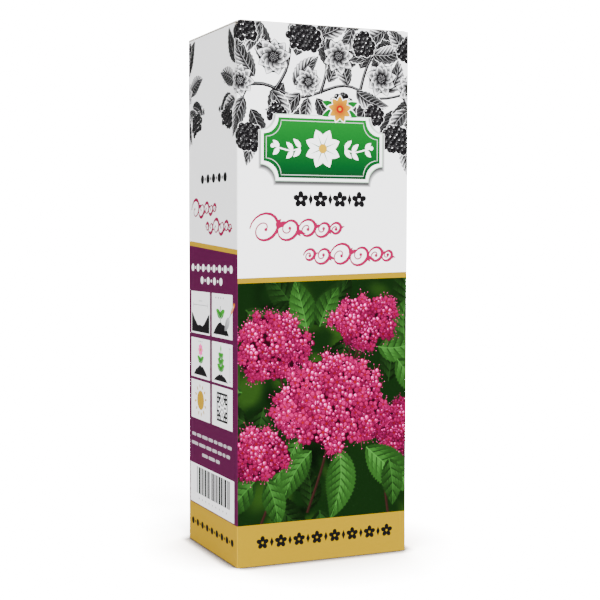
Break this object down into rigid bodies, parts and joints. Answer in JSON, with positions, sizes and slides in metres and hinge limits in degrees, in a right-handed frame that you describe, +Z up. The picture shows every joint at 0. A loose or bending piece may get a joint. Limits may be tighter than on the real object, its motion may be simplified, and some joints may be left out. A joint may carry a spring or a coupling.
{
  "type": "folding carton",
  "caption": "Tall upright folding carton of thin printed board: a closed sleeve with a glued flat base and a hinged lid that tucks in over dust flaps.",
  "frame": {"origin": "middle of the flat underside, on the surface the carton stands on", "axes": "+Z up along the carton's height, +X to the right of the front, +Y from the front to the back; the front faces -Y"},
  "size_m": [0.085, 0.062, 0.24],
  "materials": {
    "front_print": "satin coated, printed",
    "back_print": "satin coated, printed",
    "side_print": "satin coated, printed",
    "end_print": "satin coated, printed",
    "raw_board": "uncoated, matt"
  },
  "bodies": {
    "carton": {"front_panel": "front_print", "back_panel": "back_print", "left_panel": "side_print", "right_panel": "side_print", "glue_flap": "raw_board", "base_panel": "end_print", "base_inner_flap": "raw_board", "base_dust_flap_left": "raw_board", "base_dust_flap_right": "raw_board"},
    "lid": {"lid_panel": "end_print"},
    "tuck": {"tuck_flap": "end_print"},
    "dust_left": {"dust_flap_left": "end_print"},
    "dust_right": {"dust_flap_right": "end_print"}
  },
  "joints": [
    {"name": "lid_hinge", "type": "hinge", "parent": "carton", "child": "lid", "pos_m": [0, 0.03075, 0.23975], "axis": [-1, 0, 0], "range_deg": [0, 180]},
    {"name": "tuck_crease", "type": "hinge", "parent": "lid", "child": "tuck", "pos_m": [0, -0.02995, 0.23975], "axis": [-1, 0, 0], "range_deg": [0, 50]},
    {"name": "dust_crease_left", "type": "hinge", "parent": "carton", "child": "dust_left", "pos_m": [-0.04225, 0, 0.23895], "axis": [0, -1, 0], "range_deg": [0, 95]},
    {"name": "dust_crease_right", "type": "hinge", "parent": "carton", "child": "dust_right", "pos_m": [0.04225, 0, 0.23895], "axis": [0, 1, 0], "range_deg": [0, 95]}
  ],
  "couplings": [
    {"joint": "tuck_crease", "follows": "lid_hinge", "ratio": 0.25},
    {"joint": "dust_crease_left", "follows": "lid_hinge", "ratio": 0.5},
    {"joint": "dust_crease_right", "follows": "lid_hinge", "ratio": 0.5}
  ]
}
